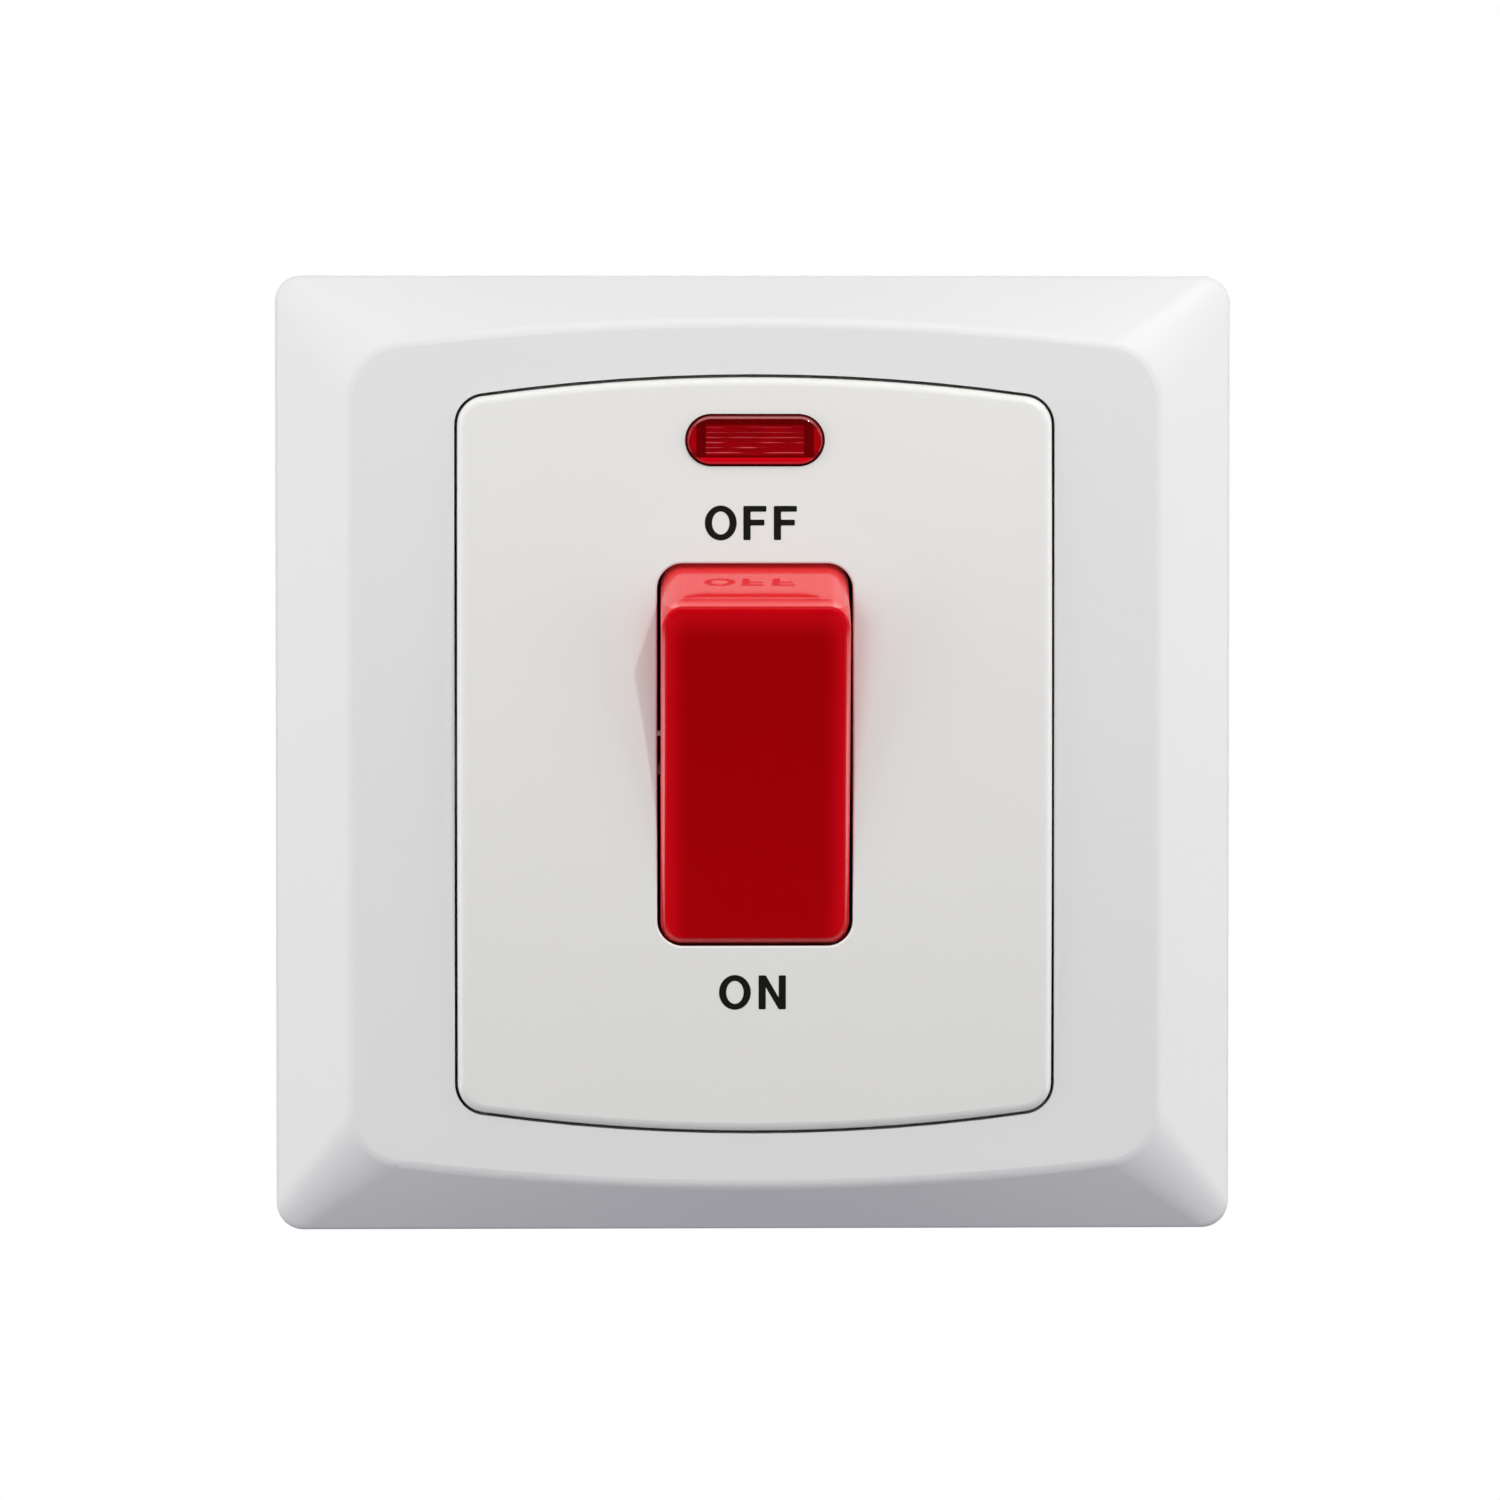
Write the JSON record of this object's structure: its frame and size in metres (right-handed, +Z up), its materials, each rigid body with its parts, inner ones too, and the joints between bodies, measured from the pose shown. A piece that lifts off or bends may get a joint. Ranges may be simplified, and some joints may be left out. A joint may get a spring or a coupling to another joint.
{
  "type": "double pole switch",
  "caption": "Square white flush wall plate with a red rocker and a red neon lens, switching live and neutral through see-saw contacts to tunnel terminals behind.",
  "frame": {"origin": "middle of the plate's back, between the two fixing holes, in the wall plane", "axes": "+X to the right and +Z up as seen from the room, +Y into the wall"},
  "size_m": [0.086, 0.0374, 0.086],
  "materials": {
    "surround_white": "satin",
    "plate_white": "gloss",
    "rocker_red": "gloss",
    "lens_red": "clear gloss",
    "housing_grey": "moulded",
    "terminal_brass": "machined",
    "screw_steel": "zinc plated",
    "contact_copper": "rolled strip",
    "tip_silver": "silver alloy",
    "spring_steel": "drawn wire",
    "plunger_white": "moulded",
    "lamp_glass": "clear",
    "resistor_body": "lacquered",
    "lead_sleeve": "sleeved"
  },
  "bodies": {
    "switch_body": {"surround_frame": "surround_white", "front_plate": "plate_white", "rear_housing": "housing_grey", "neon_lens": "lens_red", "neon_lamp": "lamp_glass", "lamp_resistor": "resistor_body", "live_lamp_lead": "lead_sleeve", "neutral_lamp_lead": "lead_sleeve", "terminal_screws": "screw_steel", "housing_screws": "screw_steel", "live_fixed_tip": "tip_silver", "live_fulcrum_strip": "contact_copper", "live_contact_strip": "contact_copper", "live_supply_terminal": "terminal_brass", "live_load_terminal": "terminal_brass", "neutral_fixed_tip": "tip_silver", "neutral_fulcrum_strip": "contact_copper", "neutral_contact_strip": "contact_copper", "neutral_supply_terminal": "terminal_brass", "neutral_load_terminal": "terminal_brass"},
    "rocker": {"rocker": "rocker_red", "live_plunger_spring": "spring_steel", "neutral_plunger_spring": "spring_steel"},
    "live_plunger": {"live_plunger": "plunger_white"},
    "live_contact": {"live_moving_contact": "contact_copper", "live_moving_tip": "tip_silver"},
    "neutral_plunger": {"neutral_plunger": "plunger_white"},
    "neutral_contact": {"neutral_moving_contact": "contact_copper", "neutral_moving_tip": "tip_silver"}
  },
  "joints": [
    {"name": "rocker_tilt", "type": "hinge", "parent": "switch_body", "child": "rocker", "pos_m": [0, 0.0009, 0], "axis": [-1, 0, 0], "range_deg": [0, 17.4]},
    {"name": "live_plunger_slide", "type": "slide", "parent": "rocker", "child": "live_plunger", "axis": [0, -0.9885, -0.1513], "range_m": [0, 0.0004], "stiffness_N_per_m": 500, "springref_m": -0.004, "deforming": ["live_plunger_spring"]},
    {"name": "live_contact_tilt", "type": "hinge", "parent": "switch_body", "child": "live_contact", "pos_m": [0.0128, 0.01354, 0], "axis": [1, 0, 0], "range_deg": [0, 16]},
    {"name": "neutral_plunger_slide", "type": "slide", "parent": "rocker", "child": "neutral_plunger", "axis": [0, -0.9885, -0.1513], "range_m": [0, 0.0004], "stiffness_N_per_m": 500, "springref_m": -0.004, "deforming": ["neutral_plunger_spring"]},
    {"name": "neutral_contact_tilt", "type": "hinge", "parent": "switch_body", "child": "neutral_contact", "pos_m": [-0.0128, 0.01354, 0], "axis": [1, 0, 0], "range_deg": [0, 16]}
  ],
  "couplings": [
    {"joint": "live_contact_tilt", "follows": "rocker_tilt", "ratio": 0.9195},
    {"joint": "neutral_contact_tilt", "follows": "rocker_tilt", "ratio": 0.9195}
  ]
}
